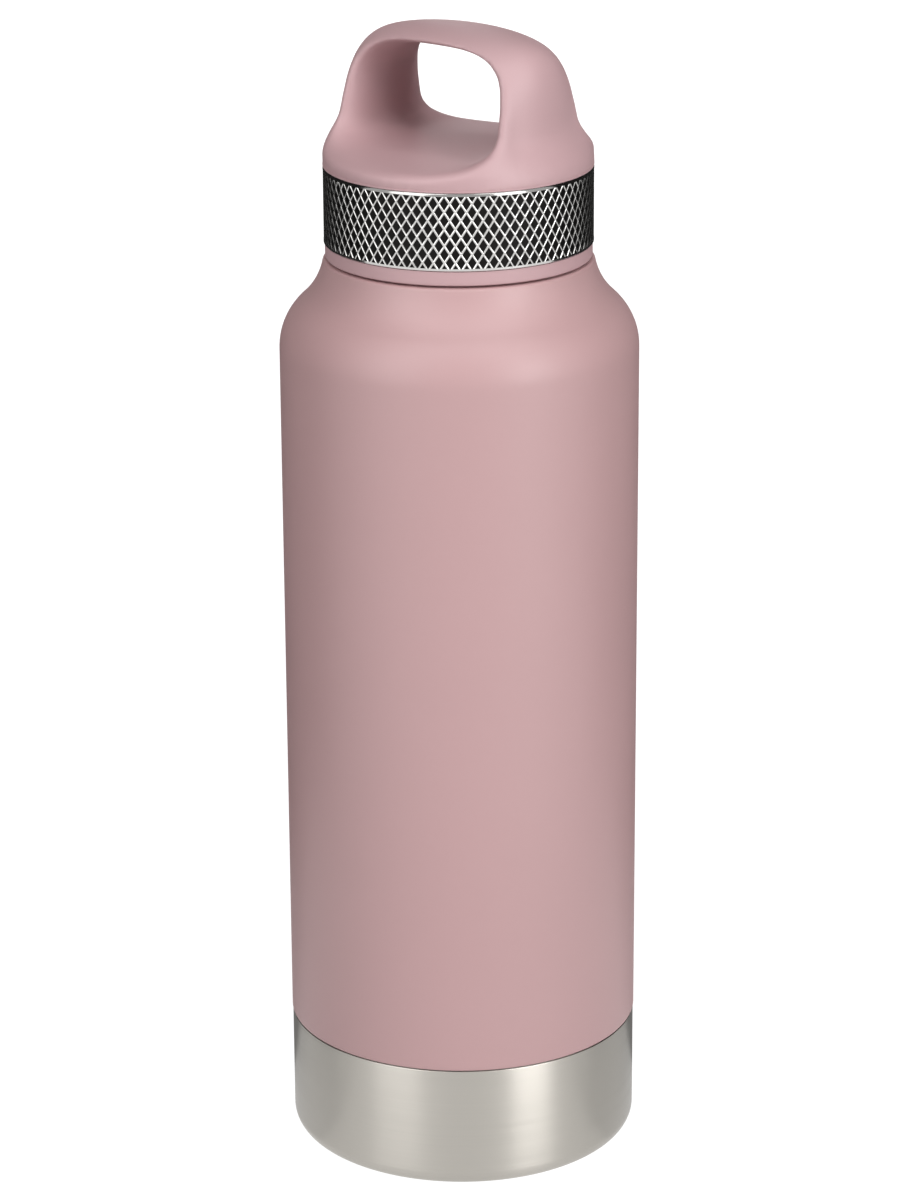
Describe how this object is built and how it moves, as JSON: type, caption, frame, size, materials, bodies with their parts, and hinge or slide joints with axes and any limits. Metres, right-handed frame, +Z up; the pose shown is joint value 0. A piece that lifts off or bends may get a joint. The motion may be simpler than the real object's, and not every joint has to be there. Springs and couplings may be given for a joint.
{
  "type": "insulated bottle",
  "caption": "Tall vacuum-insulated steel bottle with a painted body, bare steel base and a screw lid that has a moulded carry loop and a knurled grip band.",
  "frame": {"origin": "middle of the base, on the standing plane", "axes": "+Z up along the bottle's axis; the carry loop spans along X and its opening runs along Y"},
  "size_m": [0.088, 0.088, 0.2861],
  "materials": {
    "painted_shell": "satin dusty-pink powder coat",
    "bare_steel": "finely turned bare stainless steel",
    "inner_steel": "plain stainless steel",
    "knurled_steel": "bright knurled steel",
    "lid_plastic": "matt moulded plastic in the body's colour",
    "plug_plastic": "natural moulded plastic",
    "foam": "closed-cell foam",
    "silicone": "translucent silicone",
    "getter_metal": "sintered metal",
    "sealing_glass": "fused sealing glass"
  },
  "bodies": {
    "bottle": {"outer_shell": "painted_shell", "base_cup": "bare_steel", "outer_bottom": "inner_steel", "sealing_bead": "sealing_glass", "getter": "getter_metal", "inner_liner": "inner_steel", "liner_bottom": "inner_steel"},
    "lid_core": {"insulation_disc": "foam"},
    "lid_seal": {"gasket": "silicone"},
    "lid": {"lid_skirt": "lid_plastic", "grip_band": "knurled_steel", "lid_plug": "plug_plastic", "handle_cap": "lid_plastic"}
  },
  "joints": [
    {"name": "lid_lift", "type": "slide", "parent": "bottle", "child": "lid_core", "axis": [0, 0, 1], "range_m": [0, 0.1]},
    {"name": "lid_rise", "type": "slide", "parent": "lid_core", "child": "lid_seal", "axis": [0, 0, 1], "range_m": [0, 0.006]},
    {"name": "lid_turn", "type": "hinge", "parent": "lid_seal", "child": "lid", "pos_m": [0, 0, 0.24], "axis": [0, 0, 1], "range_deg": [0, 540]}
  ],
  "couplings": [
    {"joint": "lid_rise", "follows": "lid_turn", "m_per_rad": 0.0006366}
  ]
}
